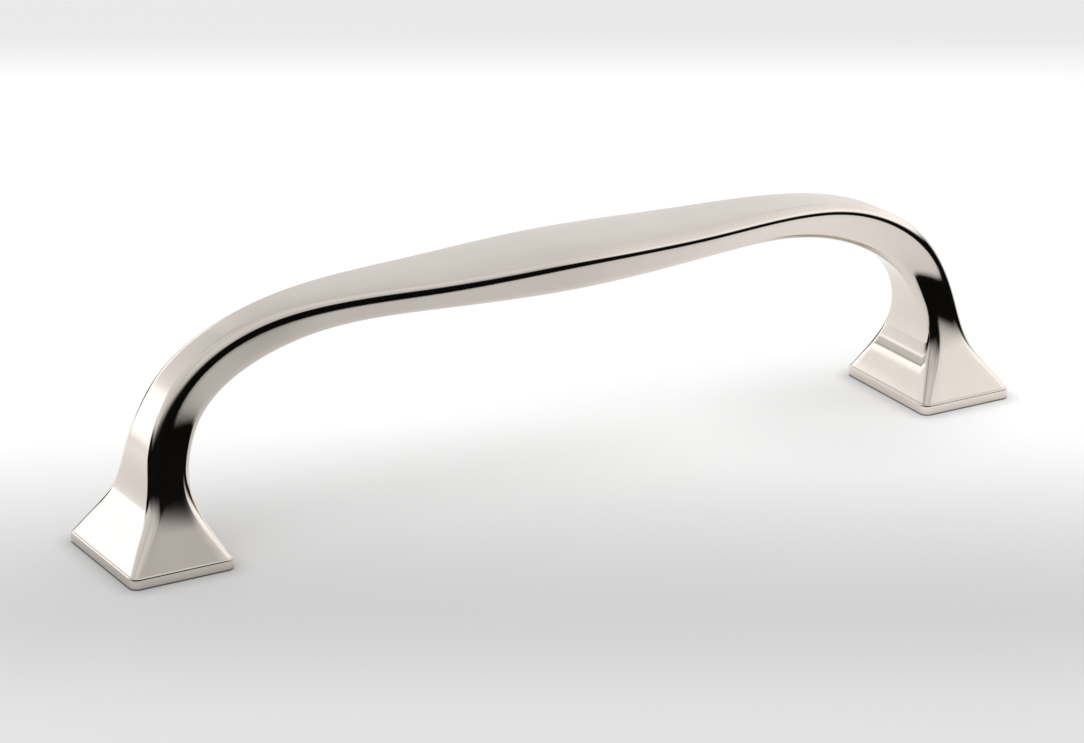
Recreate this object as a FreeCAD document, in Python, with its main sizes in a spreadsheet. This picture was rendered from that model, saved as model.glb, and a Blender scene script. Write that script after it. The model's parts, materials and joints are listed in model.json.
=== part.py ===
import FreeCAD, Part
import math
import os
import Sketcher
from FreeCAD import Placement, Rotation, Vector

# A cabinet pull, cast in one piece and polished. Two rectangular feet stand on thin base plates,
# flare inward to slim legs and run through a bend into a bar that swells to a wide, gently
# crowned grip. Millimetres, +Z away from the door, X along the bar, origin midway between the
# feet on the door's surface.

# The driving sizes: name, value, what it measures.
SIZES = [
    ("hole_spacing", 128.0, "between the centres of the two feet"),
    ("projection", 34.7, "from the door to the top of the grip"),
    ("foot_length", 15.4, "base plate along the bar"),
    ("foot_width", 20.7, "base plate across the bar"),
    ("plate_height", 1.7, "upright edge of the base plate"),
    ("plate_corner_radius", 1.2, "base plate corner, seen from above"),
    ("plate_edge_radius", 0.25, "rounding of the base plate's upper edge"),
    ("foot_ledge", 0.3, "flat step from the plate's edge to the flare"),
    ("foot_edge_radius", 0.9, "edges of the flare where it meets the plate"),
    ("heel_edge_radius", 1.1, "edges of the flare just above the plate"),
    ("toe_edge_radius", 1.35, "edges of the flare below the leg"),
    ("outer_edge_radius", 1.6, "edges of the outer side, leg and bar"),
    ("inner_edge_radius", 1.5, "edges of the inner side, leg and bar"),
    ("side_draft", 0.55, "how far each side of the bar leans in toward the inner side"),
    ("crown_radius", 34.0, "crown across the top of the bar"),
    ("bend_crown_radius", 70.0, "flatter crown where the bar meets the bend"),
    ("heel_height", 3.4, "height of the heel section"),
    ("heel_inset", 0.12, "heel section, in from the foot's centre"),
    ("heel_thickness", 12.85, "heel section along the bar"),
    ("heel_width", 18.4, "heel section across the bar"),
    ("toe_height", 5.8, "height of the toe section"),
    ("toe_inset", 0.35, "toe section, in from the foot's centre"),
    ("toe_thickness", 10.0, "toe section along the bar"),
    ("toe_width", 16.05, "toe section across the bar"),
    ("flare_height", 9.0, "height of the flare section"),
    ("flare_inset", 0.45, "flare section, in from the foot's centre"),
    ("flare_tilt", 97.0, "lean of the flare section's outer side"),
    ("flare_thickness", 7.2, "flare section, outer to inner side"),
    ("flare_width", 13.5, "flare section across the bar"),
    ("ankle_height", 15.5, "height of the ankle section"),
    ("ankle_inset", 1.55, "ankle section, in from the foot's centre"),
    ("ankle_tilt", 92.5, "lean of the ankle section's outer side"),
    ("ankle_thickness", 6.45, "ankle section, outer to inner side"),
    ("ankle_width", 9.5, "ankle section across the bar"),
    ("shoulder_drop", 12.45, "shoulder section's centre, below the top of the grip"),
    ("shoulder_inset", 5.05, "shoulder section, in from the foot's centre"),
    ("shoulder_tilt", 54.6, "lean of the shoulder section's outer side"),
    ("shoulder_thickness", 6.45, "shoulder section, outer to inner side"),
    ("shoulder_width", 7.55, "shoulder section across the bar"),
    ("bend_drop", 6.85, "bend section's centre, below the top of the grip"),
    ("bend_inset", 13.0, "bend section, in from the foot's centre"),
    ("bend_tilt", 17.0, "lean of the bend section's outer side"),
    ("bend_thickness", 6.3, "bend section, outer to inner side"),
    ("bend_width", 6.8, "bend section across the bar"),
    ("haunch_drop", 3.75, "haunch section's centre, below the top of the grip"),
    ("haunch_inset", 24.0, "haunch section, in from the foot's centre"),
    ("haunch_tilt", 2.0, "lean of the haunch section's outer side"),
    ("haunch_thickness", 5.3, "haunch section, outer to inner side"),
    ("haunch_width", 8.4, "haunch section across the bar"),
    ("quarter_drop", 3.05, "quarter section's centre, below the top of the grip"),
    ("quarter_inset", 42.0, "quarter section, in from the foot's centre"),
    ("quarter_tilt", 2.0, "lean of the quarter section's outer side"),
    ("quarter_thickness", 5.05, "quarter section, outer to inner side"),
    ("quarter_width", 12.3, "quarter section across the bar"),
    ("grip_thickness", 6.1, "bar at the middle, top to underside"),
    ("grip_width", 14.7, "bar at the middle, across"),
    ("tap_diameter", 3.3, "blind hole in each foot, drilled for an M4 thread"),
    ("tap_depth", 9.5, "from the foot's underside to the end of the hole's straight wall"),
    ("mouth_diameter", 4.3, "countersunk mouth of the blind hole"),
]

# The tilt of a section whose outer side stands upright, as in the foot.
UPRIGHT = 90.0
# Full angles of the blind hole's countersunk mouth and of its drilled point.
MOUTH_ANGLE = 90.0
DRILL_POINT_ANGLE = 118.0

# A sketch's own axes and its origin point, as its constraints number them.
AXES = ("edges start here", "horizontal", "vertical")
HORIZONTAL_AXIS = -AXES.index("horizontal")
VERTICAL_AXIS = -AXES.index("vertical")
# The points of an edge, in the order of their numbers.
EDGE_POINTS = ("whole", "start", "end", "centre")
START, END, CENTRE = [EDGE_POINTS.index(point) for point in EDGE_POINTS[1:]]
ORIGIN = (HORIZONTAL_AXIS, START)

QUARTER_TURN = math.pi / 2
# The corners of an outline, counterclockwise, in the order in which their arcs begin.
CORNERS = ("high right", "high left", "low left", "low right")
# The crown's rise in a new sketch, before its radius is bound.
FIRST_RISE = 0.1
TOLERANCE = 1e-6

document = FreeCAD.newDocument("CabinetHandle")


def make_sheet():
    sheet = document.addObject("Spreadsheet::Sheet", "sizes")
    for row, (alias, value, note) in enumerate(SIZES, start=1):
        sheet.set("A%d" % row, alias)
        sheet.set("B%d" % row, str(value))
        sheet.setAlias("B%d" % row, alias)
        sheet.set("C%d" % row, note)
    document.recompute()
    return sheet


sheet = make_sheet()


def size_of(expression):
    """The value that an expression on the sheet has now."""
    return float(sheet.evalExpression(expression))


def origin_plane(body, role):
    return [plane for plane in body.Origin.OriginFeatures if plane.Role == role][0]


def new_sketch(body, name, role):
    sketch = body.newObject("Sketcher::SketchObject", name)
    sketch.AttachmentSupport = [(origin_plane(body, role), "")]
    sketch.MapMode = "FlatFace"
    return sketch


def add_size(sketch, name, constraint, expression):
    """A named dimension in the sketch, bound to the sheet."""
    index = sketch.addConstraint(constraint)
    sketch.renameConstraint(index, name)
    sketch.setExpression("Constraints." + name, expression)


def join_tangent(sketch, edges):
    """Join each edge of a closed outline to the next one, tangent to it."""
    for here, following in zip(edges, edges[1:] + edges[:1]):
        sketch.addConstraint(Sketcher.Constraint("Tangent", here, END, following, START))


def corner_arc(centre, radius, corner):
    """The quarter circle that rounds one of an outline's four corners."""
    circle = Part.Circle(centre, Vector(0, 0, 1), radius)
    start = CORNERS.index(corner) * QUARTER_TURN
    return Part.ArcOfCircle(circle, start, start + QUARTER_TURN)


class Section:
    """One cross-section of the pull: where it lies, how it leans and how large it is.

    Every field is an expression on the sheet. The inset runs from the foot's centre toward
    the middle of the bar, and the tilt turns the outer side from facing up to facing outward.
    """

    def __init__(self, name, inset, height, tilt, thickness, width, draft, outer_radius,
                 inner_radius, crown_radius=None):
        self.name = name
        self.inset = inset
        self.height = height
        self.tilt = tilt
        self.thickness = thickness
        self.width = width
        self.draft = draft
        self.outer_radius = outer_radius
        self.inner_radius = inner_radius
        self.crown_radius = crown_radius

    def outline(self):
        """The rounded outline, counterclockwise from the inner side, centred on the origin."""
        half_width = size_of(self.width) / 2
        half_foot = half_width - size_of(self.draft)
        half_thickness = size_of(self.thickness) / 2
        inner = size_of(self.inner_radius)
        outer = size_of(self.outer_radius)
        top_left = Vector(outer - half_width, half_thickness, 0)
        top_right = Vector(half_width - outer, half_thickness, 0)
        if self.crown_radius is None:
            top = Part.LineSegment(top_right, top_left)
        else:
            top = Part.Arc(top_right, Vector(0, half_thickness + FIRST_RISE, 0), top_left)
        low = inner - half_thickness
        high = half_thickness - outer
        return [
            Part.LineSegment(Vector(inner - half_foot, -half_thickness, 0),
                             Vector(half_foot - inner, -half_thickness, 0)),
            corner_arc(Vector(half_foot - inner, low, 0), inner, "low right"),
            Part.LineSegment(Vector(half_foot, low, 0), Vector(half_width, high, 0)),
            corner_arc(Vector(half_width - outer, high, 0), outer, "high right"),
            top,
            corner_arc(Vector(outer - half_width, high, 0), outer, "high left"),
            Part.LineSegment(Vector(-half_width, high, 0), Vector(-half_foot, low, 0)),
            corner_arc(Vector(inner - half_foot, low, 0), inner, "low left"),
        ]

    def draw(self, body, side):
        """The section as a sketch, on the right (side 1) or on the left (side -1)."""
        name = self.name + {1: "_right", -1: "_left"}[side]
        sketch = new_sketch(body, name, "YZ_Plane")
        turn = Rotation(Vector(1, 0, 0), side * size_of(self.tilt))
        sketch.AttachmentOffset = Placement(Vector(0, 0, 0), turn)
        sketch.setExpression("AttachmentOffset.Base.y", self.height)
        along = "%d * (sizes.hole_spacing / 2 - %s)" % (side, self.inset)
        sketch.setExpression("AttachmentOffset.Base.z", along)
        sketch.setExpression("AttachmentOffset.Rotation.Angle", "%d * %s" % (side, self.tilt))
        edges = sketch.addGeometry(self.outline(), False)
        inner_side, low_right, right, high_right, outer_side, high_left, left, low_left = edges
        join_tangent(sketch, list(edges))
        mirror_pairs = [(inner_side, START, inner_side, END), (right, END, left, START)]
        for first, first_end, second, second_end in mirror_pairs:
            sketch.addConstraint(Sketcher.Constraint(
                "Symmetric", first, first_end, second, second_end, VERTICAL_AXIS))
        sketch.addConstraint(Sketcher.Constraint("Equal", low_right, low_left))
        sketch.addConstraint(Sketcher.Constraint("Equal", high_right, high_left))
        add_size(sketch, "inner_radius", Sketcher.Constraint(
            "Radius", low_right, size_of(self.inner_radius)), self.inner_radius)
        add_size(sketch, "outer_radius", Sketcher.Constraint(
            "Radius", high_right, size_of(self.outer_radius)), self.outer_radius)
        add_size(sketch, "outer_width", Sketcher.Constraint(
            "DistanceX", left, START, right, END, size_of(self.width)), self.width)
        inner_width = "%s - 2 * (%s)" % (self.width, self.draft)
        add_size(sketch, "inner_width", Sketcher.Constraint(
            "DistanceX", left, END, right, START, size_of(inner_width)), inner_width)
        half_thickness = "(%s) / 2" % self.thickness
        add_size(sketch, "half_thickness", Sketcher.Constraint(
            "DistanceY", inner_side, START, *ORIGIN, size_of(half_thickness)), half_thickness)
        if self.crown_radius is None:
            add_size(sketch, "thickness", Sketcher.Constraint(
                "DistanceY", inner_side, START, outer_side, START, size_of(self.thickness)),
                self.thickness)
        else:
            add_size(sketch, "crown_radius", Sketcher.Constraint(
                "Radius", outer_side, size_of(self.crown_radius)), self.crown_radius)
            apex = sketch.addGeometry(Part.Point(Vector(0, size_of(half_thickness), 0)), True)
            sketch.addConstraint(Sketcher.Constraint("PointOnObject", apex, START, outer_side))
            sketch.addConstraint(Sketcher.Constraint("PointOnObject", apex, START, VERTICAL_AXIS))
            add_size(sketch, "thickness", Sketcher.Constraint(
                "DistanceY", inner_side, START, apex, START, size_of(self.thickness)),
                self.thickness)
        return sketch


def leg_section(name, inset, height, tilt, draft):
    """A section of the leg, flat on its outer side, sized by the cells that carry its name."""
    thickness = "sizes.%s_thickness" % name
    width = "sizes.%s_width" % name
    return Section(name, inset, height, tilt, thickness, width, draft,
                   "sizes.outer_edge_radius", "sizes.inner_edge_radius")


def flare_section(name):
    """An upright section of the flare just above the foot."""
    return Section(
        name,
        "sizes.%s_inset" % name,
        "sizes.%s_height" % name,
        str(UPRIGHT),
        "sizes.%s_thickness" % name,
        "sizes.%s_width" % name,
        "0",
        "sizes.%s_edge_radius" % name,
        "sizes.%s_edge_radius" % name,
    )


def bar_section(name, crown_radius):
    """A section of the bar, crowned on top, that keeps its distance from the top of the grip."""
    return Section(
        name,
        "sizes.%s_inset" % name,
        "sizes.projection - sizes.%s_drop" % name,
        "sizes.%s_tilt" % name,
        "sizes.%s_thickness" % name,
        "sizes.%s_width" % name,
        "sizes.side_draft",
        "sizes.outer_edge_radius",
        "sizes.inner_edge_radius",
        crown_radius,
    )


FOOT = Section("foot", "0", "sizes.plate_height", str(UPRIGHT),
               "sizes.foot_length - 2 * sizes.foot_ledge",
               "sizes.foot_width - 2 * sizes.foot_ledge", "0",
               "sizes.foot_edge_radius", "sizes.foot_edge_radius")
HEEL = flare_section("heel")
TOE = flare_section("toe")
FLARE = leg_section("flare", "sizes.flare_inset", "sizes.flare_height", "sizes.flare_tilt",
                    "sizes.side_draft / 4")
ANKLE = leg_section("ankle", "sizes.ankle_inset", "sizes.ankle_height", "sizes.ankle_tilt",
                    "sizes.side_draft / 2")
SHOULDER = leg_section("shoulder", "sizes.shoulder_inset",
                       "sizes.projection - sizes.shoulder_drop", "sizes.shoulder_tilt",
                       "sizes.side_draft")
BEND = bar_section("bend", "sizes.bend_crown_radius")
HAUNCH = bar_section("haunch", "sizes.crown_radius")
QUARTER = bar_section("quarter", "sizes.crown_radius")
MIDDLE = Section("middle", "sizes.hole_spacing / 2",
                 "sizes.projection - sizes.grip_thickness / 2", "0",
                 "sizes.grip_thickness", "sizes.grip_width", "sizes.side_draft",
                 "sizes.outer_edge_radius", "sizes.inner_edge_radius", "sizes.crown_radius")
HALF = [FOOT, HEEL, TOE, FLARE, ANKLE, SHOULDER, BEND, HAUNCH, QUARTER]


def rounded_rectangle(sketch, prefix, middle_x, length, width, radius):
    """A rectangle with rounded corners about (middle_x, 0), bound to the sheet."""
    centre_x = size_of(middle_x)
    half_x = size_of(length) / 2
    half_y = size_of(width) / 2
    corner = size_of(radius)
    left, right = centre_x - half_x, centre_x + half_x
    edges = list(sketch.addGeometry([
        Part.LineSegment(Vector(left + corner, -half_y, 0), Vector(right - corner, -half_y, 0)),
        corner_arc(Vector(right - corner, corner - half_y, 0), corner, "low right"),
        Part.LineSegment(Vector(right, corner - half_y, 0), Vector(right, half_y - corner, 0)),
        corner_arc(Vector(right - corner, half_y - corner, 0), corner, "high right"),
        Part.LineSegment(Vector(right - corner, half_y, 0), Vector(left + corner, half_y, 0)),
        corner_arc(Vector(left + corner, half_y - corner, 0), corner, "high left"),
        Part.LineSegment(Vector(left, half_y - corner, 0), Vector(left, corner - half_y, 0)),
        corner_arc(Vector(left + corner, corner - half_y, 0), corner, "low left"),
    ], False))
    join_tangent(sketch, edges)
    front, first_corner, right_side, _, back, _, left_side, _ = edges
    for edge in (front, back):
        sketch.addConstraint(Sketcher.Constraint("Horizontal", edge))
    for edge in (right_side, left_side):
        sketch.addConstraint(Sketcher.Constraint("Vertical", edge))
    for other in edges[3::2]:
        sketch.addConstraint(Sketcher.Constraint("Equal", first_corner, other))
    add_size(sketch, prefix + "_corner", Sketcher.Constraint(
        "Radius", first_corner, corner), radius)
    add_size(sketch, prefix + "_length", Sketcher.Constraint(
        "DistanceX", left_side, START, right_side, START, 2 * half_x), length)
    add_size(sketch, prefix + "_width", Sketcher.Constraint(
        "DistanceY", front, START, back, START, 2 * half_y), width)
    add_size(sketch, prefix + "_front", Sketcher.Constraint(
        "DistanceY", front, START, *ORIGIN, half_y), "(%s) / 2" % width)
    right_edge = "%s + (%s) / 2" % (middle_x, length)
    add_size(sketch, prefix + "_right", Sketcher.Constraint(
        "DistanceX", *ORIGIN, right_side, START, right), right_edge)


def add_plates(body):
    """The two thin base plates that stand on the door."""
    sketch = new_sketch(body, "plate_outlines", "XY_Plane")
    for prefix, sign in (("right", ""), ("left", "-")):
        rounded_rectangle(sketch, prefix, sign + "sizes.hole_spacing / 2",
                          "sizes.foot_length", "sizes.foot_width", "sizes.plate_corner_radius")
    pad = body.newObject("PartDesign::Pad", "plates")
    pad.Profile = sketch
    pad.setExpression("Length", "sizes.plate_height")
    document.recompute()
    return pad


def add_bow(body):
    """The flared legs, the bends and the bar, as one smooth loft from foot to foot."""
    right = [section.draw(body, 1) for section in HALF]
    middle = MIDDLE.draw(body, 1)
    left = [section.draw(body, -1) for section in reversed(HALF)]
    loft = body.newObject("PartDesign::AdditiveLoft", "bow")
    loft.Profile = right[0]
    loft.Sections = right[1:] + [middle] + left
    document.recompute()
    return loft


def add_plate_rounding(body, solid):
    """A small round along the upper edge of each base plate."""
    top = size_of("sizes.plate_height")
    ledges = [face for face in solid.Shape.Faces
              if face.BoundBox.ZLength < TOLERANCE and abs(face.BoundBox.ZMin - top) < TOLERANCE]
    rims = [edge for face in ledges for edge in face.OuterWire.Edges]
    names = ["Edge%d" % number for number, edge in enumerate(solid.Shape.Edges, start=1)
             if any(edge.isSame(rim) for rim in rims)]
    fillet = body.newObject("PartDesign::Fillet", "plate_rounding")
    fillet.Base = (solid, names)
    fillet.setExpression("Radius", "sizes.plate_edge_radius")
    document.recompute()
    return fillet


def add_blind_holes(body):
    """A blind hole up into each foot, drilled for the screw's thread."""
    sketch = new_sketch(body, "hole_centres", "XY_Plane")
    radius = size_of("sizes.tap_diameter / 2")
    reach = size_of("sizes.hole_spacing / 2")
    right = sketch.addGeometry(Part.Circle(Vector(reach, 0, 0), Vector(0, 0, 1), radius), False)
    left = sketch.addGeometry(Part.Circle(Vector(-reach, 0, 0), Vector(0, 0, 1), radius), False)
    sketch.addConstraint(Sketcher.Constraint("Equal", right, left))
    sketch.addConstraint(Sketcher.Constraint(
        "Symmetric", right, CENTRE, left, CENTRE, VERTICAL_AXIS))
    sketch.addConstraint(Sketcher.Constraint("PointOnObject", right, CENTRE, HORIZONTAL_AXIS))
    add_size(sketch, "radius", Sketcher.Constraint("Radius", right, radius),
             "sizes.tap_diameter / 2")
    add_size(sketch, "spacing", Sketcher.Constraint(
        "DistanceX", left, CENTRE, right, CENTRE, 2 * reach), "sizes.hole_spacing")
    document.recompute()
    hole = body.newObject("PartDesign::Hole", "blind_holes")
    hole.Profile = sketch
    hole.Reversed = True
    hole.Threaded = False
    hole.DepthType = "Dimension"
    hole.setExpression("Diameter", "sizes.tap_diameter")
    hole.setExpression("Depth", "sizes.tap_depth")
    hole.DrillPoint = "Angled"
    hole.DrillPointAngle = DRILL_POINT_ANGLE
    hole.HoleCutType = "Countersink"
    hole.HoleCutCustomValues = True
    hole.setExpression("HoleCutDiameter", "sizes.mouth_diameter")
    hole.HoleCutCountersinkAngle = MOUTH_ANGLE
    document.recompute()
    return hole


def make_pull():
    body = document.addObject("PartDesign::Body", "pull")
    body.Label = "pull"
    add_plates(body)
    bow = add_bow(body)
    rounded = add_plate_rounding(body, bow)
    volume_before = rounded.Shape.Volume
    holes = add_blind_holes(body)
    if holes.Shape.Volume >= volume_before:
        raise RuntimeError("The blind holes cut nothing.")
    return body


def check_objects():
    for item in document.Objects:
        if "Invalid" in item.State or "Error" in item.State:
            raise RuntimeError("%s failed: %s" % (item.Name, item.State))


def export(body):
    shape = body.Shape
    if shape.isNull() or not shape.isValid() or len(shape.Solids) != 1:
        raise RuntimeError("%s has no valid single solid." % body.Label)
    os.makedirs("parts", exist_ok=True)
    shape.exportStep(os.path.join("parts", body.Label + ".step"))
    box = shape.optimalBoundingBox(False, False)
    print("%s: %.2f x %.2f x %.2f mm, %.1f mm3" % (
        body.Label, box.XLength, box.YLength, box.ZLength, shape.Volume))


pull = make_pull()
pull.Placement = Placement(Vector(0, 0, 0), Rotation())
document.recompute()
check_objects()
export(pull)
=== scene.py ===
import json
import math

import bmesh
import bpy
import numpy as np
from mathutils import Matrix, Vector


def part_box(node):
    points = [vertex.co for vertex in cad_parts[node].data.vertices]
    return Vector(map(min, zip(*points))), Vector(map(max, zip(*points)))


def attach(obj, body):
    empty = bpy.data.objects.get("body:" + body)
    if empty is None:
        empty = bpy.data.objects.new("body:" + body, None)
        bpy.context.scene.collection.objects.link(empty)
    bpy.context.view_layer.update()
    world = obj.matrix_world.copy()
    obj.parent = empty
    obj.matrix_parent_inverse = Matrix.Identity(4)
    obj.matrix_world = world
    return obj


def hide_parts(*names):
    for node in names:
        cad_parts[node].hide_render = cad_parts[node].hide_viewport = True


# The looks of a polished nickel cabinet pull on a pale floor. +Z away from the door, X along the
# bar, origin midway between the feet on the door's surface.

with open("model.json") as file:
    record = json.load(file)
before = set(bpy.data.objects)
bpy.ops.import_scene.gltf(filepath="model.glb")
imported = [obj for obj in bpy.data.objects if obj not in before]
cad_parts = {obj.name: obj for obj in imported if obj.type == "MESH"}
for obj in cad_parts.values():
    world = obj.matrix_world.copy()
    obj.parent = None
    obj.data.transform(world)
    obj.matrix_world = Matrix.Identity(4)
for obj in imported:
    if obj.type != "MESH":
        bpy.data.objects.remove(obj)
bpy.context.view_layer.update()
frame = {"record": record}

MM = 0.001
QUARTER_TURN = math.pi / 2


# Sizes read from the frame, in millimetres.

low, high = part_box("pull")
mounts = {mount["name"]: mount for mount in frame["record"]["mounts"]}
screw = mounts["right_screw_hole"]
HALF_SPACING = screw["pos_m"][0] / MM
PROJECTION = high.z / MM
FOOT_LENGTH = 2 * (high.x / MM - HALF_SPACING)
FOOT_WIDTH = (high.y - low.y) / MM
HOLE_RADIUS = screw["dims"]["r_mm"]
HOLE_DEPTH = screw["pos_m"][2] / MM + screw["dims"]["length_mm"] / 2


# Sizes of the casting, in millimetres.

PLATE_HEIGHT = 1.7
PLATE_CORNER = 1.2
# How far the plate's rounded edges reach across and up, and the rings of points around each.
PLATE_TOP_ROUND = (0.27, 0.44)
PLATE_TOP_RINGS = 9
PLATE_FOOT_ROUND = (0.28, 0.4)
PLATE_FOOT_RINGS = 6
LEDGE = 0.3
OUTER_ROUND = 1.6
INNER_ROUND = 1.5
DRAFT = 0.55
CROWN = 34.0
BEND_CROWN = 70.0
GRIP_THICKNESS = 6.1
GRIP_WIDTH = 14.7


# The threaded hole, in millimetres.

MOUTH_RADIUS = 2.15
THREAD_RADIUS = 2.0
THREAD_PITCH = 0.7
# The thread ends this far below the full depth of the drilled hole.
THREAD_RUNOUT = 1.5
THREAD_RINGS_PER_PITCH = 8
# The groove's depth, as a share of the thread's, is cut off at 0 and 1.
GROOVE_MIDDLE = 1.25
GROOVE_STEEPNESS = 4
DRILL_POINT = math.radians(118)
# The rings of points on the drilled point, as shares of the hole's radius.
DRILL_POINT_RINGS = (0.02, 0.5, 1.0)


# How finely the mesh is divided: points along each stretch of an outline, and the distance
# between the rings of points along the bow.

INNER_POINTS = 14
ARC_POINTS = 11
SIDE_POINTS = 7
OUTER_POINTS = 26
RING_STEP = 0.5
SHARP_ANGLE = math.radians(28)
# Rounds in which the lean of a section's sides is worked out.
LEAN_ROUNDS = 20


# Painted light and shade on the floor, as its brightness: in front, in the bar's painted shadow
# just before the pull, in painted light behind it and where that painted light fades far behind.

FLOOR_FRONT = 0.84
FLOOR_PAINTED_SHADE = 0.72
FLOOR_PAINTED_LIGHT = 1.25
FLOOR_FAR = 0.95
FLOOR_TOP_LEVEL = 1.16
# Painted light: how much paler the floor is painted at both sides in front.
FLOOR_SIDE_LIFT = 0.06
# The palest colour that the floor's own surface has. What is brighter is a painted glow.
FLOOR_COLOUR_LIMIT = 0.93
# The brightness changes along this direction, away from the camera. A pair of distances along it
# is where one brightness fades into the next.
FLOOR_DEPTH = (0.502, 0.865)
FRONT_TO_PAINTED_SHADE = (-0.090, -0.050)
PAINTED_SHADE_TO_LIGHT = (-0.055, 0.045)
PAINTED_LIGHT_TO_FAR = (0.165, 0.225)
# In front, painted light makes the floor a little paler at both sides.
SIDE_LIFT_ASIDE = (0.05, 0.14)
SIDE_LIFT_DEPTH = (0.05, -0.02)
FLOOR_HALF = 6.0
# The floor lies a hair under the feet.
FLOOR_DROP = 0.00002
# Metal sees the floor as far as this line in front, which runs askew to the bar, and as far
# around as the two distances, between which it fades. The dark end of the room lies beyond.
FLOOR_EDGE_SLANT = (0.363, 0.932)
FLOOR_EDGE = -0.048
FLOOR_EDGE_SOFTNESS = 0.012
FLOOR_REACH = (0.14, 0.26)
# The floor is darkest right beside a base plate, and plain at the second distance from it.
CONTACT_SHADE = 0.85
CONTACT_REACH = 0.003
# It is darker still in the groove under the plate's rounded lower edge.
UNDER_EDGE_SHADE = 0.15
UNDER_EDGE_REACH = (-0.0003, 0.00015)
# A wide soft shadow falls to the left of the right foot. Metal doesn't mirror it.
SOFT_SHADE = 0.90
SOFT_SHADE_PLACE = (0.047, -0.004)
SOFT_SHADE_REACH = (0.004, 0.028)


# Polished nickel: its colour wanders between two tones, and its roughness around a low value.

NICKEL_DEEP = (0.705, 0.648, 0.592, 1)
NICKEL_PALE = (0.735, 0.675, 0.618, 1)
CLOUD_SCALE = 90.0
GRAIN_SCALE = 1400.0
ROUGHNESS = 0.035
GRAIN_ROUGHNESS = 0.03
CLOUD_ROUGHNESS = 0.02
BUMP_STRENGTH = 0.02
BUMP_HEIGHT = 0.00002


# Brightness of what stands in the room. Only polished metal sees it, and all else sees an even
# grey light.

EVEN_LIGHT = 0.75
CEILING = 0.69
GROUND = 0.92
WALL = 1.62
SCREEN = 0.06
PANEL = 1.06
DARK_END = 0.004
# All angles are in degrees. The bearing is 0 straight in front and positive to the right, and the
# rise is 0 at the horizon. A pair of angles is a fade, from nothing at the first to all at the
# second.
HORIZON = (-2, 4)
# Parts of the ceiling that are paler or darker: by how much, and where by bearing and by rise.
CEILING_PARTS = [
    # Its right half.
    (0.05, [(0, 30)], []),
    # The gap before the soft box.
    (-0.24, [(14, 18), (34, 26)], [(34, 26)]),
    # High up in front, as the rounded corners of the feet mirror it.
    (0.14, [(-80, -50), (50, 20)], [(40, 55)]),
    # The soft box on the right, brightest low down and at its near edge.
    (0.36, [(5, 80), (160, 100)], [(75, 35)]),
    (0.29, [(5, 80), (160, 100)], [(36, 20)]),
    (0.10, [(27, 35), (80, 50)], [(36, 26)]),
    # The left, and low down on the left.
    (0.12, [(-80, -110), (-170, -150)], []),
    (0.28, [(-110, -146), (-170, -150)], [(27, 14)]),
]
# Parts that lie straight behind: the change, the fades from the left and from the right by
# bearing, and the fade by rise.
CEILING_BEHIND = [
    (0.08, (-150, -175), (125, 142), (42, 20)),
    (0.10, (-150, -160), (165, 178), (38, 28)),
]
# The bright wall stands behind to the left and straight behind, where it is taller.
WALL_FROM_LEFT = (-143.5, -145.5)
BEHIND_FROM_RIGHT = (165, 178)
WALL_BOTTOM = (-8, -1)
WALL_TOP = 14.0
WALL_TOP_BEHIND = 23.0
WALL_TOP_STEP = (-150, -165)
# The fade at the wall's top, measured from that rise.
WALL_TOP_FADE = (4, -2)
# The dark screen straight behind, from the left, from the right, and in height.
SCREEN_FROM_LEFT = (-155, -159)
SCREEN_FROM_RIGHT = (164, 170)
SCREEN_HEIGHT = [(-5, -2), (10, 7)]
# The panel at the wall's near end: where it stands, the change in its bands, and the level of
# each layer above them, by rise.
PANEL_BEARINGS = [(-145.5, -143.5), (-132, -136)]
PANEL_HEIGHT = [(-10, 0), (26, 20)]
PANEL_BANDS = [
    (0.30, [(5.4, 6.6), (7.8, 6.9)]),
    (-0.32, [(6.9, 8.0), (10.4, 9.8)]),
]
PANEL_LAYERS = [
    (0.42, [(9.8, 10.3), (10.9, 10.5)]),
    (1.55, [(10.6, 11.0)]),
    (PANEL, [(11.6, 13.0)]),
]
# The dark end reaches up to a limit, which starts at the first rise and passes to each next one
# between two bearings.
DARK_LIMIT_START = 5.0
DARK_LIMITS = [
    ((-150, -110), 12.0),
    ((-110, -70), 26.0),
    ((-70, -40), 31.0),
    ((-10, 14), 25.0),
    ((14, 24), 19.0),
    ((24, 36), 11.5),
]
DARK_SOFTNESS = 4.5
DARK_FRONT_SOFTNESS = 12.0
DARK_BEARINGS = [(-141, -135), (115, 85)]
DARK_FRONT_BEARINGS = [(-115, -75), (10, -10)]


# The soft lamp and the camera, in metres, watts, millimetres and radians.

LAMP_PLACE = (-0.35, -0.25, 0.75)
LAMP_TARGET = (0, 0, 0.02)
LAMP_SIZE = 0.7
LAMP_WATTS = 1.6
CAMERA_PLACE = (-0.28854, -0.49236, 0.22989)
CAMERA_DIP = 0.361
CAMERA_BEARING = -0.526
CAMERA_LENS = 143.03
CAMERA_SENSOR = 36.0
CAMERA_NEAR = 0.01
CAMERA_FAR = 50.0


class Station:
    """A cross-section of the bow: its place on the right half, its lean and its outline."""

    def __init__(self, inset, height, tilt, thickness, width, draft, outer, inner, crown=None):
        self.x = HALF_SPACING - inset
        self.z = height
        self.tilt = math.radians(tilt)
        self.thickness = thickness
        self.width = width
        self.draft = draft
        self.outer = outer
        self.inner = inner
        self.crown = crown


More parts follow.
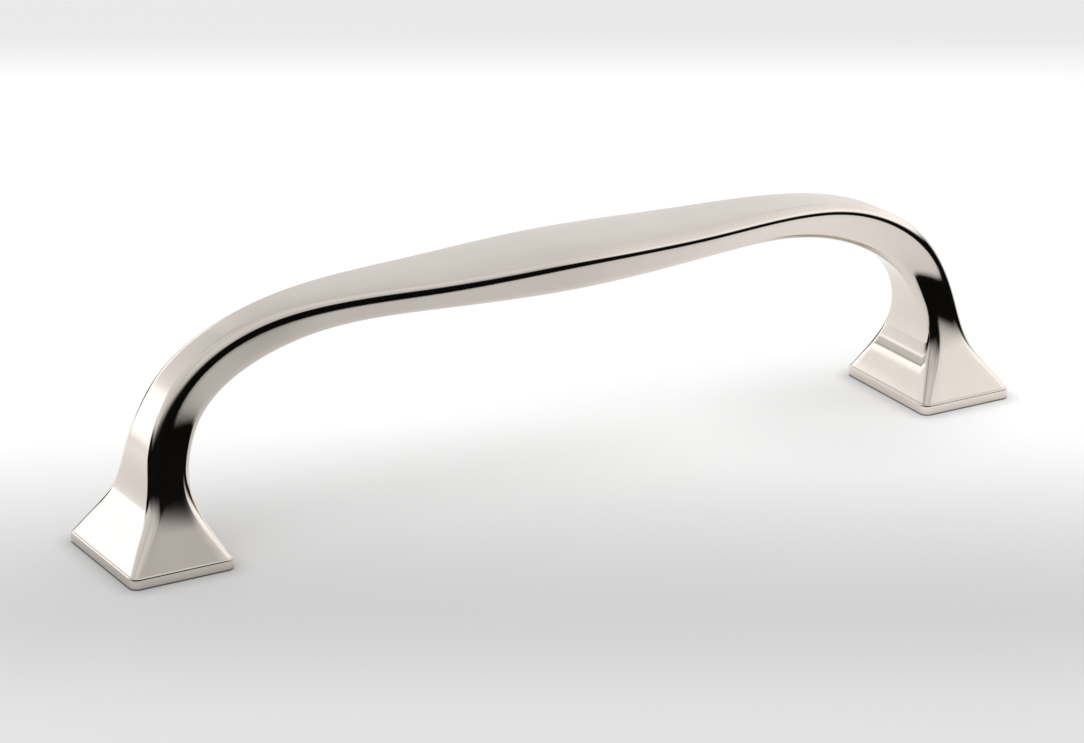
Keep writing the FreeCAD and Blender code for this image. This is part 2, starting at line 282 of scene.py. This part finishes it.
STATIONS = [
    # The foot, the heel and the toe stand upright and narrow upward.
    Station(0, PLATE_HEIGHT, 90, FOOT_LENGTH - 2 * LEDGE, FOOT_WIDTH - 2 * LEDGE, 0, 0.9, 0.9),
    Station(0.12, 3.4, 90, 12.85, 18.4, 0, 1.1, 1.1),
    Station(0.35, 5.8, 90, 10.0, 16.05, 0, 1.35, 1.35),
    # The flare and the ankle lean a little outward.
    Station(0.45, 9.0, 97, 7.2, 13.5, DRAFT / 4, OUTER_ROUND, INNER_ROUND),
    Station(1.55, 15.5, 92.5, 6.45, 9.5, DRAFT / 2, OUTER_ROUND, INNER_ROUND),
    # The shoulder and the bend turn into the bar.
    Station(5.05, PROJECTION - 12.45, 54.6, 6.45, 7.55, DRAFT, OUTER_ROUND, INNER_ROUND),
    Station(13.0, PROJECTION - 6.85, 17, 6.3, 6.8, DRAFT, OUTER_ROUND, INNER_ROUND, BEND_CROWN),
    # The bar swells to the grip.
    Station(24.0, PROJECTION - 3.75, 2, 5.3, 8.4, DRAFT, OUTER_ROUND, INNER_ROUND, CROWN),
    Station(42.0, PROJECTION - 3.05, 2, 5.05, 12.3, DRAFT, OUTER_ROUND, INNER_ROUND, CROWN),
    Station(HALF_SPACING, PROJECTION - GRIP_THICKNESS / 2, 0, GRIP_THICKNESS, GRIP_WIDTH, DRAFT,
            OUTER_ROUND, INNER_ROUND, CROWN),
]


# The outline of a section.

def outline(thickness, width, draft, outer, inner, crown=None):
    """The points (across, outward) of a rounded section, counterclockwise from the inner side.

    The sides lean in by the draft, and the outer side is an arc of the crown's radius.
    """
    half = width / 2
    inner_y = inner - thickness / 2
    lean = 0.0
    for _ in range(LEAN_ROUNDS):
        outer_x = half - outer * math.cos(lean)
        if crown is None:
            outer_y = thickness / 2 - outer
            slope = 0.0
        else:
            outer_y = thickness / 2 - crown + math.sqrt((crown - outer) ** 2 - outer_x ** 2)
            slope = math.asin(outer_x / (crown - outer))
        rise = (outer_y - outer * math.sin(lean)) - (inner_y - inner * math.sin(lean))
        lean = math.atan2(draft, rise)
    inner_x = half - draft - inner * math.cos(lean)

    def arc(centre_x, centre_y, radius, start, end, count):
        angles = np.linspace(start, end, count, endpoint=False)
        return np.stack([centre_x + radius * np.cos(angles),
                         centre_y + radius * np.sin(angles)], 1)

    def line(start, end, count):
        share = np.linspace(0, 1, count, endpoint=False)[:, None]
        return np.array(start) * (1 - share) + np.array(end) * share

    right_turn = QUARTER_TURN - slope
    left_turn = QUARTER_TURN + slope
    low_right = arc(inner_x, inner_y, inner, -QUARTER_TURN, -lean, ARC_POINTS)
    high_right = arc(outer_x, outer_y, outer, -lean, right_turn, ARC_POINTS)
    high_left = arc(-outer_x, outer_y, outer, left_turn, math.pi + lean, ARC_POINTS)
    low_left = arc(-inner_x, inner_y, inner, math.pi + lean, 3 * QUARTER_TURN, ARC_POINTS)
    side_low = (inner_x + inner * math.cos(lean), inner_y - inner * math.sin(lean))
    side_high = (outer_x + outer * math.cos(lean), outer_y - outer * math.sin(lean))
    if crown is None:
        top = line((outer_x, thickness / 2), (-outer_x, thickness / 2), OUTER_POINTS)
    else:
        top = arc(0, thickness / 2 - crown, crown, right_turn, left_turn, OUTER_POINTS)
    return np.concatenate([
        line((-inner_x, -thickness / 2), (inner_x, -thickness / 2), INNER_POINTS),
        low_right,
        line(side_low, side_high, SIDE_POINTS),
        high_right,
        top,
        high_left,
        line((-side_high[0], side_high[1]), (-side_low[0], side_low[1]), SIDE_POINTS),
        low_left,
    ])


def placed(points, x, z, tilt):
    """Outline points in space: across the bar along Y, outward along the tilted normal."""
    across, outward = points[:, 0], points[:, 1]
    return np.stack([x + outward * math.sin(tilt), across, z + outward * math.cos(tilt)], 1)


def mirrored(ring):
    return ring * np.array([-1, 1, 1])


# Smooth curves through the sections.

def natural_spline(knots, values, at):
    """A natural cubic spline through values at the knots, read at the given places."""
    count = len(knots)
    step = np.diff(knots)
    matrix = np.eye(count)
    right = np.zeros_like(values)
    for i in range(1, count - 1):
        matrix[i, i - 1:i + 2] = step[i - 1], 2 * (step[i - 1] + step[i]), step[i]
        right[i] = 6 * ((values[i + 1] - values[i]) / step[i]
                        - (values[i] - values[i - 1]) / step[i - 1])
    bend = np.linalg.solve(matrix, right)
    k = np.clip(np.searchsorted(knots, at, side="right") - 1, 0, count - 2)
    h = step[k][:, None]
    before = (knots[k + 1] - at)[:, None]
    after = (at - knots[k])[:, None]
    return (bend[k] * before ** 3 / (6 * h) + bend[k + 1] * after ** 3 / (6 * h)
            + (values[k] / h - bend[k] * h / 6) * before
            + (values[k + 1] / h - bend[k + 1] * h / 6) * after)


def bow_rings():
    """The rings of points of the bow, from the right foot's plate to the left one's."""
    right = [placed(outline(s.thickness, s.width, s.draft, s.outer, s.inner, s.crown),
                    s.x, s.z, s.tilt) for s in STATIONS]
    centres = [np.array([s.x, 0, s.z]) for s in STATIONS]
    rings = np.array(right + [mirrored(ring) for ring in right[-2::-1]])
    centres = np.array(centres + [mirrored(c) for c in centres[-2::-1]])
    knots = np.concatenate([[0], np.cumsum(np.linalg.norm(np.diff(centres, axis=0), axis=1))])
    places = [np.array([0.0])]
    for start, end in zip(knots, knots[1:]):
        count = max(2, math.ceil((end - start) / RING_STEP))
        places.append(np.linspace(start, end, count + 1)[1:])
    places = np.concatenate(places)
    flat = natural_spline(knots, rings.reshape(len(rings), -1), places)
    return flat.reshape(len(places), -1, 3)


def plate_ring(inset, z):
    """An outline of the base plate, drawn in by the inset, at height z."""
    corner = PLATE_CORNER - inset
    points = outline(FOOT_LENGTH - 2 * inset, FOOT_WIDTH - 2 * inset, 0, corner, corner)
    return placed(points, HALF_SPACING, z, QUARTER_TURN)


def plate_rings():
    """The base plate's rings, from its underside up to its top, both edges rounded."""
    rings = []
    across, up = PLATE_FOOT_ROUND
    for angle in np.linspace(0, QUARTER_TURN, PLATE_FOOT_RINGS):
        rings.append(plate_ring(across * (1 - math.sin(angle)), up * (1 - math.cos(angle))))
    across, up = PLATE_TOP_ROUND
    for angle in np.linspace(0, QUARTER_TURN, PLATE_TOP_RINGS):
        rings.append(plate_ring(across * (1 - math.cos(angle)),
                                PLATE_HEIGHT - up * (1 - math.sin(angle))))
    return rings


# The threaded hole.

def hole_rings(first_ring):
    """The rings of the blind hole, from its tip down to its mouth, with a cut thread."""
    centre = np.array([HALF_SPACING, 0.0])
    turn = np.unwrap(np.arctan2(first_ring[:, 1] - centre[1], first_ring[:, 0] - centre[0]))

    def ring(radius, z):
        radius = np.broadcast_to(radius, turn.shape)
        return np.stack([centre[0] + radius * np.cos(turn), radius * np.sin(turn),
                         np.full(turn.shape, z)], 1)

    tip = HOLE_DEPTH + HOLE_RADIUS / math.tan(DRILL_POINT / 2)
    rings = [ring(share * HOLE_RADIUS, tip - share * (tip - HOLE_DEPTH))
             for share in DRILL_POINT_RINGS]
    thread_end = HOLE_DEPTH - THREAD_RUNOUT
    # The mouth is countersunk at 45 degrees, so it is as deep as it is wide.
    mouth_end = MOUTH_RADIUS - HOLE_RADIUS
    steps = int((thread_end - mouth_end) / THREAD_PITCH * THREAD_RINGS_PER_PITCH)
    for z in np.linspace(thread_end, mouth_end, steps):
        phase = (z / THREAD_PITCH - turn / (2 * math.pi)) % 1.0
        groove = np.clip(GROOVE_MIDDLE - np.abs(phase - 0.5) * GROOVE_STEEPNESS, 0, 1)
        fade = min(1.0, (thread_end - z) / THREAD_PITCH)
        rings.append(ring(HOLE_RADIUS + (THREAD_RADIUS - HOLE_RADIUS) * groove * fade, z))
    rings.append(ring(MOUTH_RADIUS, 0.0))
    return rings, np.array([centre[0], 0.0, tip])


# The mesh of the whole pull.

def build_pull():
    """The whole casting as one closed mesh, from one hole's tip through the bow to the other's."""
    plate = plate_rings()
    hole, tip = hole_rings(plate[0])
    right = hole + plate
    left = [mirrored(ring) for ring in reversed(right)]
    rings = right + list(bow_rings()) + left
    count = len(rings[0])
    mesh = bmesh.new()
    rows = [[mesh.verts.new(Vector(point) * MM) for point in ring] for ring in rings]
    for here, following in zip(rows, rows[1:]):
        for i in range(count):
            j = (i + 1) % count
            mesh.faces.new((here[i], here[j], following[j], following[i]))
    for row, point in ((rows[0], tip), (rows[-1], mirrored(tip))):
        end = mesh.verts.new(Vector(point) * MM)
        for i in range(count):
            mesh.faces.new((row[i], row[(i + 1) % count], end))
    bmesh.ops.recalc_face_normals(mesh, faces=mesh.faces)
    data = bpy.data.meshes.new("nickel_pull")
    mesh.to_mesh(data)
    mesh.free()
    data.polygons.foreach_set("use_smooth", [True] * len(data.polygons))
    data.set_sharp_from_angle(angle=SHARP_ANGLE)
    return linked("nickel_pull", data)


def linked(name, data):
    """A new object in the scene."""
    thing = bpy.data.objects.new(name, data)
    bpy.context.scene.collection.objects.link(thing)
    return thing


# Shader helpers.

WHITE = (1, 1, 1, 1)


class Graph:
    """A small helper that adds nodes and joins them."""

    def __init__(self, tree):
        self.tree = tree
        tree.nodes.clear()

    def add(self, kind, inputs=None, **settings):
        node = self.tree.nodes.new(kind)
        for name, value in settings.items():
            setattr(node, name, value)
        for key, value in (inputs or {}).items():
            socket = node.inputs[key]
            if isinstance(value, bpy.types.NodeSocket):
                self.tree.links.new(value, socket)
            else:
                socket.default_value = value
        return node

    def math(self, operation, first, second=0.0, third=0.0):
        node = self.add("ShaderNodeMath", {0: first, 1: second, 2: third}, operation=operation)
        return node.outputs[0]

    def ramp(self, value, start, end, low=0.0, high=1.0):
        """A smooth step of value from low, at start, to high, at end."""
        node = self.add("ShaderNodeMapRange", {
            "Value": value, "From Min": start, "From Max": end, "To Min": low, "To Max": high,
        }, interpolation_type="SMOOTHSTEP")
        return node.outputs["Result"]

    def fades(self, value, pairs):
        """The ramp of each pair of places, as a list."""
        return [self.ramp(value, *pair) for pair in pairs]

    def product(self, first, *others):
        for other in others:
            first = self.math("MULTIPLY", first, other)
        return first

    def plus(self, base, amount, *shares):
        """The base with an amount added where all the shares are 1."""
        return self.math("MULTIPLY_ADD", self.product(*shares), amount, base)

    def blend(self, share, first, second):
        """A plain number between first, at share 0, and second, at share 1."""
        node = self.add("ShaderNodeMix", {0: share, 2: first, 3: second}, data_type="FLOAT")
        return node.outputs[0]

    def mix(self, share, first, second):
        """A colour between first, at share 0, and second, at share 1."""
        node = self.add("ShaderNodeMix", {0: share, 6: first, 7: second}, data_type="RGBA")
        return node.outputs[2]

    def grey(self, level):
        """A number as a grey colour."""
        return self.add("ShaderNodeCombineColor", {0: level, 1: level, 2: level}).outputs[0]

    def length(self, x, y):
        square = self.math("MULTIPLY_ADD", x, x, self.math("MULTIPLY", y, y))
        return self.math("POWER", square, 0.5)

    def along(self, x, y, direction):
        """How far the place x, y lies along a direction."""
        return self.math("MULTIPLY_ADD", x, direction[0],
                         self.math("MULTIPLY", y, direction[1]))

    def out(self, kind, shader):
        """Joins a shader to a new output node."""
        node = self.add(kind)
        self.tree.links.new(shader.outputs[0], node.inputs["Surface"])


def new_material(name):
    material = bpy.data.materials.new(name)
    material.use_nodes = True
    return material, Graph(material.node_tree)


# Polished nickel.

def nickel():
    material, g = new_material("polished_nickel")
    place = g.add("ShaderNodeTexCoord").outputs["Object"]
    cloudy = g.add("ShaderNodeTexNoise", {
        "Vector": place, "Scale": CLOUD_SCALE, "Detail": 3.0, "Roughness": 0.55}).outputs["Fac"]
    fine = g.add("ShaderNodeTexNoise", {
        "Vector": place, "Scale": GRAIN_SCALE, "Detail": 4.0, "Roughness": 0.6}).outputs["Fac"]
    colour = g.mix(g.ramp(cloudy, 0.3, 0.7), NICKEL_DEEP, NICKEL_PALE)
    gloss = g.plus(ROUGHNESS, GRAIN_ROUGHNESS, g.ramp(fine, 0.35, 0.75))
    gloss = g.plus(gloss, CLOUD_ROUGHNESS, g.ramp(cloudy, 0.4, 0.8))
    bump = g.add("ShaderNodeBump", {
        "Strength": BUMP_STRENGTH, "Distance": BUMP_HEIGHT, "Height": fine})
    g.out("ShaderNodeOutputMaterial", g.add("ShaderNodeBsdfPrincipled", {
        "Base Color": colour, "Metallic": 1.0, "Roughness": gloss,
        "Normal": bump.outputs["Normal"]}))
    return material


# The studio.

def ceiling_level(g, bearing, rise):
    level = CEILING
    for change, bearing_fades, rise_fades in CEILING_PARTS:
        level = g.plus(level, change, *g.fades(bearing, bearing_fades),
                       *g.fades(rise, rise_fades))
    for change, from_left, from_right, rise_fade in CEILING_BEHIND:
        behind = g.math("ADD", g.ramp(bearing, *from_left), g.ramp(bearing, *from_right))
        level = g.plus(level, change, behind, g.ramp(rise, *rise_fade))
    return level


def with_wall(g, room, bearing, rise):
    """The room with the bright wall behind to the left and straight behind."""
    back = g.ramp(bearing, *BEHIND_FROM_RIGHT)
    taller = g.math("ADD", g.ramp(bearing, *WALL_TOP_STEP), back)
    over_top = g.math("SUBTRACT", rise, g.blend(taller, WALL_TOP, WALL_TOP_BEHIND))
    place = g.product(g.math("ADD", g.ramp(bearing, *WALL_FROM_LEFT), back),
                      g.ramp(rise, *WALL_BOTTOM), g.ramp(over_top, *WALL_TOP_FADE))
    return g.blend(place, room, WALL)


def with_screen(g, room, bearing, rise):
    """The room with a dark screen straight behind.

    It is mirrored as a thin line along the outline of the left foot.
    """
    place = g.product(g.math("ADD", *g.fades(bearing, [SCREEN_FROM_LEFT, SCREEN_FROM_RIGHT])),
                      *g.fades(rise, SCREEN_HEIGHT))
    return g.blend(place, room, SCREEN)


def with_panel(g, room, bearing, rise):
    """The room with the panel at the wall's near end."""
    panel = PANEL
    for change, fades in PANEL_BANDS:
        panel = g.plus(panel, change, *g.fades(rise, fades))
    for level, fades in PANEL_LAYERS:
        panel = g.blend(g.product(*g.fades(rise, fades)), panel, level)
    place = g.product(*g.fades(bearing, PANEL_BEARINGS), *g.fades(rise, PANEL_HEIGHT))
    return g.blend(place, room, panel)


def with_dark_end(g, room, bearing, rise):
    """The room with its dark end in front, up to its upper limit at each bearing."""
    limit = DARK_LIMIT_START
    for bearings, next_limit in DARK_LIMITS:
        limit = g.blend(g.ramp(bearing, *bearings), limit, next_limit)
    softness = g.blend(g.product(*g.fades(bearing, DARK_FRONT_BEARINGS)),
                       DARK_SOFTNESS, DARK_FRONT_SOFTNESS)
    below = g.math("DIVIDE", g.math("SUBTRACT", limit, rise), softness)
    place = g.product(g.ramp(below, -1, 1), *g.fades(bearing, DARK_BEARINGS))
    return g.blend(place, room, DARK_END)


def studio_world():
    """A pale photographic studio. Diffuse surfaces see an even grey light.

    Polished metal sees what stands in the room: a pale ceiling with a soft box to the right, a
    bright wall behind to the left, a pale ground, and the dark end of the room in front.
    """
    world = bpy.data.worlds.new("studio")
    bpy.context.scene.world = world
    world.use_nodes = True
    g = Graph(world.node_tree)
    direction = g.add("ShaderNodeTexCoord").outputs["Generated"]
    x, y, z = g.add("ShaderNodeSeparateXYZ", {"Vector": direction}).outputs
    degrees = math.degrees(1)
    rise = g.math("MULTIPLY", g.math("ARCSINE", z), degrees)
    ahead = g.math("MULTIPLY", y, -1.0)
    bearing = g.math("MULTIPLY", g.math("ARCTAN2", x, ahead), degrees)

    room = g.blend(g.ramp(rise, *HORIZON), GROUND, ceiling_level(g, bearing, rise))
    for part in (with_wall, with_screen, with_panel, with_dark_end):
        room = part(g, room, bearing, rise)
    path = g.add("ShaderNodeLightPath")
    level = g.blend(path.outputs["Is Glossy Ray"], EVEN_LIGHT, room)
    g.out("ShaderNodeOutputWorld",
          g.add("ShaderNodeBackground", {"Strength": level, "Color": WHITE}))


def soft_lamp():
    data = bpy.data.lights.new("soft_key", "AREA")
    data.shape = "SQUARE"
    data.size = LAMP_SIZE
    data.energy = LAMP_WATTS
    lamp = linked("soft_key", data)
    lamp.location = LAMP_PLACE
    aim = Vector(LAMP_TARGET) - Vector(LAMP_PLACE)
    lamp.rotation_euler = aim.to_track_quat("-Z", "Y").to_euler()
    lamp.visible_glossy = False


def floor():
    ground = linked("floor", floor_mesh())
    ground.data.materials.append(pale_floor())


def floor_mesh():
    mesh = bmesh.new()
    corners = [mesh.verts.new((sx * FLOOR_HALF, sy * FLOOR_HALF, -FLOOR_DROP))
               for sx, sy in ((-1, -1), (1, -1), (1, 1), (-1, 1))]
    mesh.faces.new(corners)
    data = bpy.data.meshes.new("floor")
    mesh.to_mesh(data)
    mesh.free()
    return data


def plate_distance(g, x, y):
    """Distance outside the rounded outline of the nearer base plate."""
    corner = PLATE_CORNER * MM
    beside = g.math("ABSOLUTE", g.math("SUBTRACT", g.math("ABSOLUTE", x), HALF_SPACING * MM))
    beside = g.math("SUBTRACT", beside, FOOT_LENGTH / 2 * MM - corner)
    across = g.math("SUBTRACT", g.math("ABSOLUTE", y), FOOT_WIDTH / 2 * MM - corner)
    outside = g.length(g.math("MAXIMUM", beside, 0.0), g.math("MAXIMUM", across, 0.0))
    inside = g.math("MINIMUM", g.math("MAXIMUM", beside, across), 0.0)
    return g.math("SUBTRACT", g.math("ADD", outside, inside), corner)


def pale_floor():
    """A pale floor under the feet, with painted light and shade.

    It is painted greyest just in front, where it stands for the bar's shadow, painted white with a
    glow behind the pull and pale grey again far behind. Polished metal sees it around the pull,
    and sees the studio's own walls beyond its edges.
    """
    material, g = new_material("pale_floor")
    place = g.add("ShaderNodeTexCoord").outputs["Object"]
    parts = g.add("ShaderNodeSeparateXYZ", {"Vector": place})
    x, y = parts.outputs["X"], parts.outputs["Y"]
    path = g.add("ShaderNodeLightPath")
    mirror_ray = path.outputs["Is Glossy Ray"]

    depth = g.along(x, y, FLOOR_DEPTH)
    aside = g.along(x, y, (FLOOR_DEPTH[1], -FLOOR_DEPTH[0]))
    # Painted light and shade by depth: the bar's painted shadow just in front, painted light
    # behind the pull, and painted light a little paler at both sides in front.
    level = g.blend(g.ramp(depth, *FRONT_TO_PAINTED_SHADE), FLOOR_FRONT, FLOOR_PAINTED_SHADE)
    level = g.blend(g.ramp(depth, *PAINTED_SHADE_TO_LIGHT), level, FLOOR_PAINTED_LIGHT)
    level = g.blend(g.ramp(depth, *PAINTED_LIGHT_TO_FAR), level, FLOOR_FAR)
    level = g.plus(level, FLOOR_SIDE_LIFT,
                   g.ramp(g.math("ABSOLUTE", aside), *SIDE_LIFT_ASIDE),
                   g.ramp(depth, *SIDE_LIFT_DEPTH))

    away = plate_distance(g, x, y)
    shade_distance = g.length(g.math("SUBTRACT", x, SOFT_SHADE_PLACE[0]),
                              g.math("SUBTRACT", y, SOFT_SHADE_PLACE[1]))
    soft_shade = g.blend(mirror_ray, SOFT_SHADE, 1.0)
    level = g.product(g.math("MINIMUM", level, FLOOR_TOP_LEVEL),
                      g.ramp(away, 0, CONTACT_REACH, CONTACT_SHADE, 1),
                      g.ramp(away, *UNDER_EDGE_REACH, UNDER_EDGE_SHADE, 1),
                      g.ramp(shade_distance, *SOFT_SHADE_REACH, soft_shade, 1))

    seen = g.math("MAXIMUM", path.outputs["Is Camera Ray"], mirror_ray)
    diffuse = g.add("ShaderNodeBsdfDiffuse", {
        "Color": g.grey(g.math("MINIMUM", level, FLOOR_COLOUR_LIMIT))})
    # Above the surface's palest colour, the level is a painted glow that the camera and polished
    # metal see.
    lift = g.math("MAXIMUM", g.math("SUBTRACT", level, FLOOR_COLOUR_LIMIT), 0.0)
    glow = g.add("ShaderNodeEmission", {
        "Color": WHITE, "Strength": g.math("MULTIPLY", lift, seen)})
    both = g.add("ShaderNodeAddShader", {0: diffuse.outputs[0], 1: glow.outputs[0]})

    edge_distance = g.along(x, y, FLOOR_EDGE_SLANT)
    mirrored_part = g.product(
        g.ramp(edge_distance, FLOOR_EDGE - FLOOR_EDGE_SOFTNESS, FLOOR_EDGE + FLOOR_EDGE_SOFTNESS),
        g.ramp(g.length(x, y), *FLOOR_REACH, 1, 0))
    unseen = g.math("MULTIPLY", mirror_ray, g.math("SUBTRACT", 1.0, mirrored_part))
    clear = g.add("ShaderNodeBsdfTransparent")
    g.out("ShaderNodeOutputMaterial", g.add("ShaderNodeMixShader", {
        0: unseen, 1: both.outputs[0], 2: clear.outputs[0]}))
    return material


def camera():
    data = bpy.data.cameras.new("camera")
    data.sensor_width = CAMERA_SENSOR
    data.lens = CAMERA_LENS
    data.clip_start = CAMERA_NEAR
    data.clip_end = CAMERA_FAR
    view = linked("camera", data)
    view.location = CAMERA_PLACE
    view.rotation_euler = (QUARTER_TURN - CAMERA_DIP, 0, CAMERA_BEARING)
    bpy.context.scene.camera = view


# Everything together.

pull = build_pull()
pull.data.materials.append(nickel())
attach(pull, "root")
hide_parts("pull")

bpy.context.scene.view_settings.view_transform = "Standard"
studio_world()
soft_lamp()
floor()
camera()
